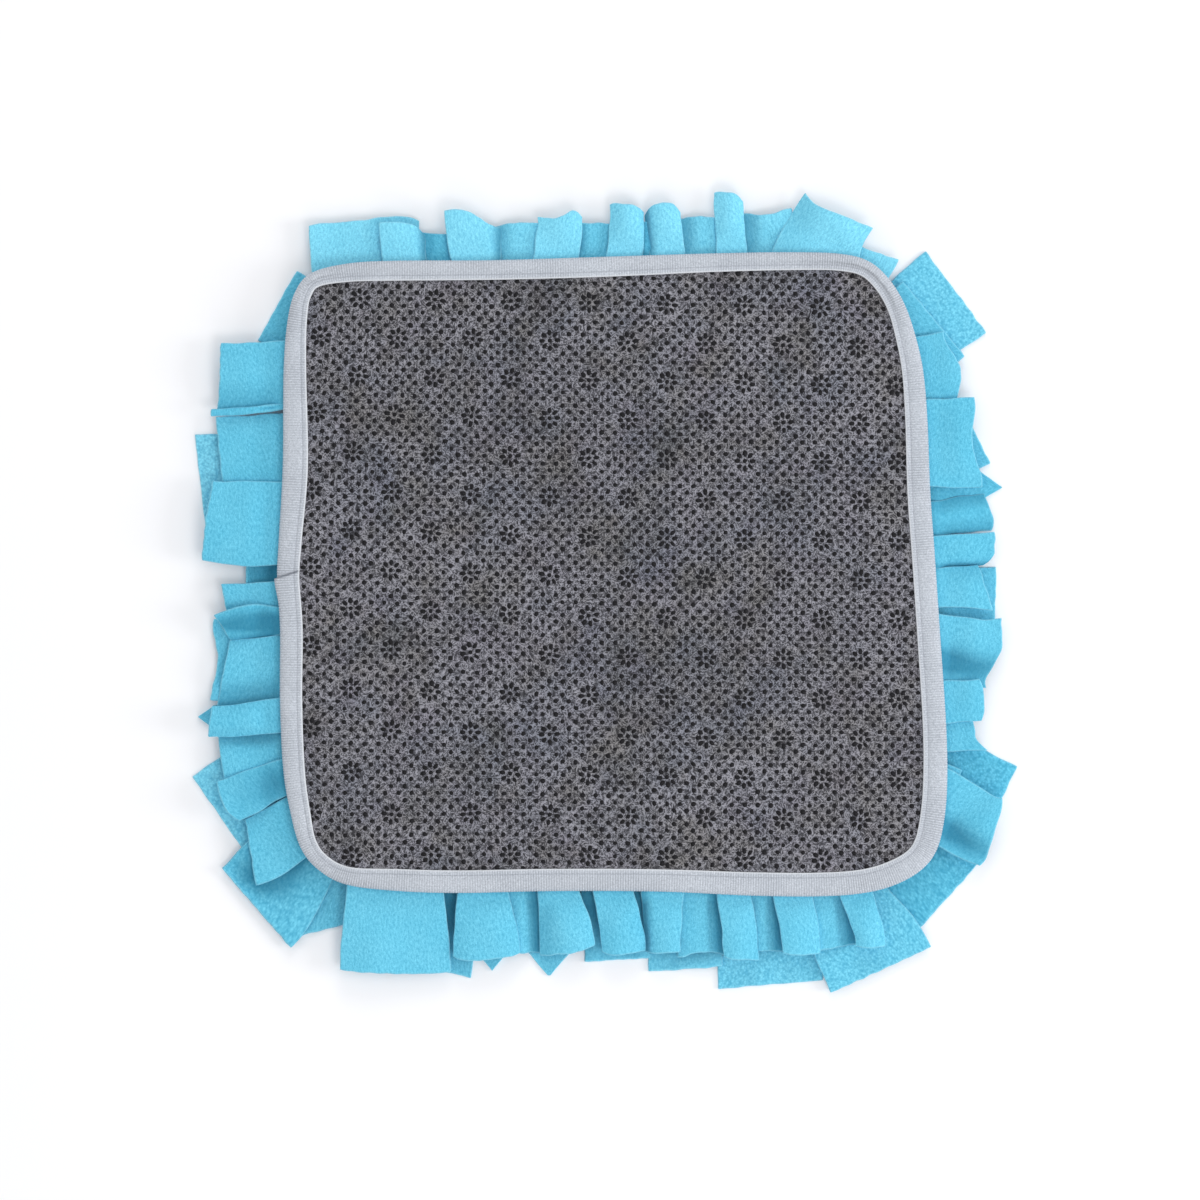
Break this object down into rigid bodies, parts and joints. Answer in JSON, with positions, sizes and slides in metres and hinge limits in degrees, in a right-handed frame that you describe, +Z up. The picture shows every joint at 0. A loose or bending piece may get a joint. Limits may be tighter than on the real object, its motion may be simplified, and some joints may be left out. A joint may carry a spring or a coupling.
{
  "type": "snuffle mat",
  "caption": "Square pet snuffle mat lying face down: dotted non-slip felt back with a bound edge, and wide fleece strips that fan out all round from the front.",
  "frame": {"origin": "on the floor, under the middle of the mat's whole box, strips included", "axes": "+Z up, away from the floor; +Y towards the side where only two layers of strips show, +X to the right seen from above"},
  "size_m": [0.4536, 0.4401, 0.0173],
  "materials": {
    "felt": "dark grey heathered non-woven felt, matt and slightly hairy, printed all over with small raised black dots",
    "tape": "light grey ribbed binding tape, matt",
    "fleece": "bright sky blue polar fleece, soft brushed nap with low pills"
  },
  "bodies": {
    "root": {"felt_back": "felt", "binding_tape": "tape", "strips_top_1": "fleece", "strips_top_2": "fleece", "strips_right_1": "fleece", "strips_right_2": "fleece", "strips_right_3": "fleece", "strips_right_4": "fleece", "strips_bottom_1": "fleece", "strips_bottom_2": "fleece", "strips_bottom_3": "fleece", "strips_bottom_4": "fleece", "strips_left_1": "fleece", "strips_left_2": "fleece", "strips_left_3": "fleece", "strips_left_4": "fleece", "strips_front_1": "fleece", "strips_front_2": "fleece", "strips_front_3": "fleece", "strips_front_4": "fleece", "strips_front_5": "fleece", "strips_front_6": "fleece"}
  },
  "joints": []
}
